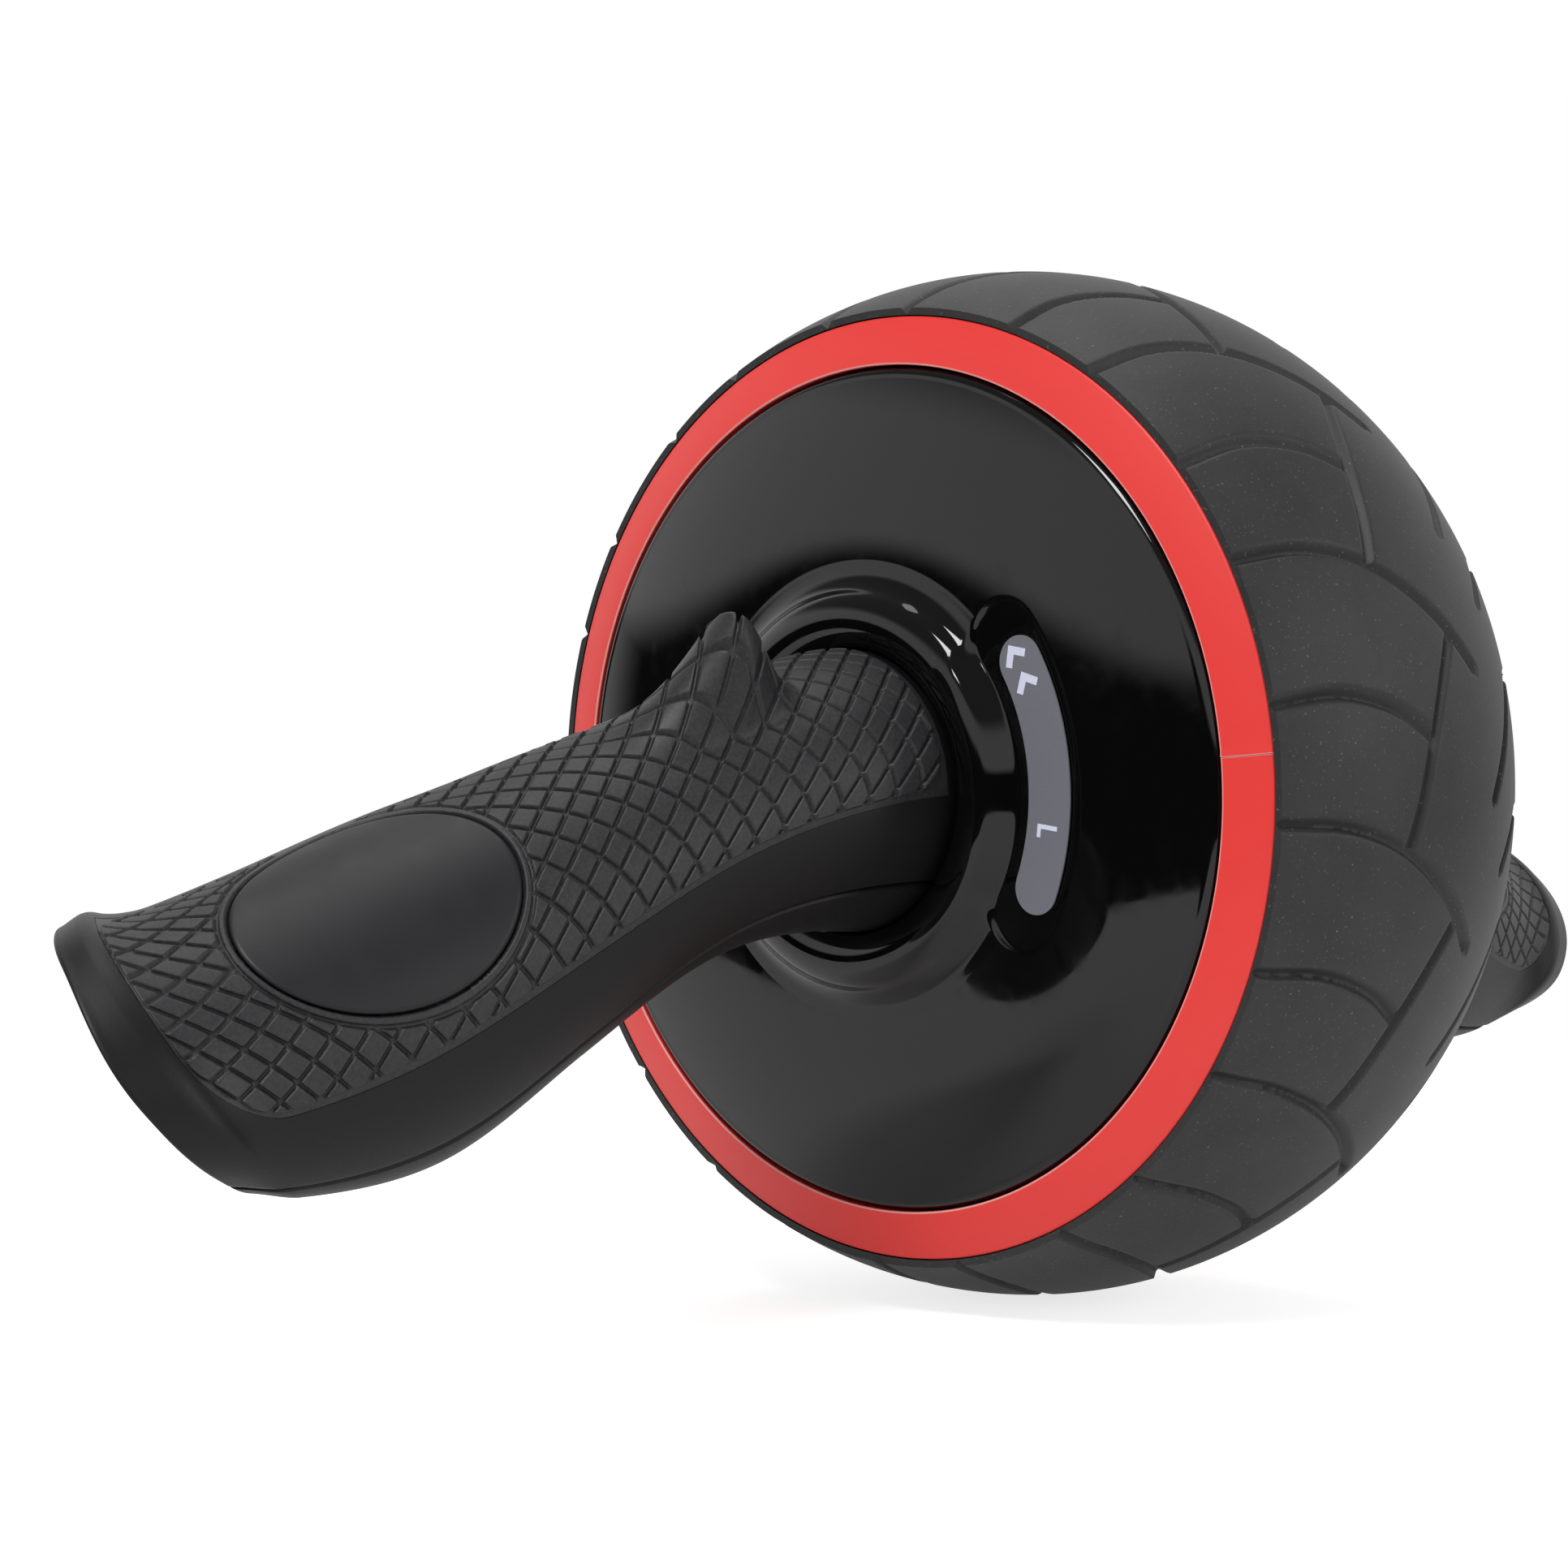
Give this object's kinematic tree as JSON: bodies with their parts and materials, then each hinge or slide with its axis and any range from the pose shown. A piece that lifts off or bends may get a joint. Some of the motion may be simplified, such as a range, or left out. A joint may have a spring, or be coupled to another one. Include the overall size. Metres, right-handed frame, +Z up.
{
  "type": "ab wheel roller",
  "caption": "Wide rubber-tyred exercise wheel on a through axle, with contoured drop handles and a wind-up return spring in its hub.",
  "frame": {"origin": "centre of the wheel, on the axle at the tread's middle plane", "axes": "+Y along the axle to the user's left, +X forward, the way the wheel is pushed out, +Z up"},
  "size_m": [0.19, 0.4048, 0.19],
  "materials": {
    "tread_rubber": "moulded matt charcoal rubber",
    "rim_plastic": "moulded black nylon",
    "red_plastic": "satin red ABS",
    "gloss_plastic": "polished black ABS",
    "label_film": "printed grey film",
    "bearing_plastic": "acetal, as moulded",
    "spring_steel": "blued spring steel",
    "screw_steel": "zinc-plated steel",
    "axle_steel": "turned steel",
    "handle_plastic": "fine-textured black ABS",
    "grip_rubber": "checkered black thermoplastic rubber",
    "pad_rubber": "smooth black thermoplastic rubber"
  },
  "bodies": {
    "handlebar": {"axle": "axle_steel", "spring_arbor": "axle_steel", "arbor_pin": "screw_steel", "thrust_washer_left": "axle_steel", "thrust_washer_right": "axle_steel", "circlip_left": "spring_steel", "circlip_right": "spring_steel", "handle_upper_left": "handle_plastic", "handle_upper_right": "handle_plastic", "handle_lower_left": "handle_plastic", "handle_lower_right": "handle_plastic", "grip_left": "grip_rubber", "grip_right": "grip_rubber", "palm_pad_left": "pad_rubber", "palm_pad_right": "pad_rubber", "socket_left": "axle_steel", "socket_right": "axle_steel", "lock_screw_left": "screw_steel", "lock_screw_right": "screw_steel", "handle_screws_left": "screw_steel", "handle_screws_right": "screw_steel"},
    "wheel": {"tyre": "tread_rubber", "rim_left": "rim_plastic", "rim_right": "rim_plastic", "trim_ring_left": "red_plastic", "trim_ring_right": "red_plastic", "hub_cover_left": "gloss_plastic", "hub_cover_right": "gloss_plastic", "label_left": "label_film", "label_right": "label_film", "bush_left": "bearing_plastic", "bush_right": "bearing_plastic", "spring_cup": "rim_plastic", "spring_lid": "rim_plastic", "power_spring": "spring_steel", "rim_screws": "screw_steel", "cup_screws": "screw_steel", "lid_screws": "screw_steel"}
  },
  "joints": [
    {"name": "wheel_spin", "type": "hinge", "parent": "handlebar", "child": "wheel", "pos_m": [0, 0, 0], "axis": [0, 1, 0], "range_deg": [-45, 680], "stiffness_Nm_per_rad": 0.42, "deforming": ["power_spring"]}
  ]
}
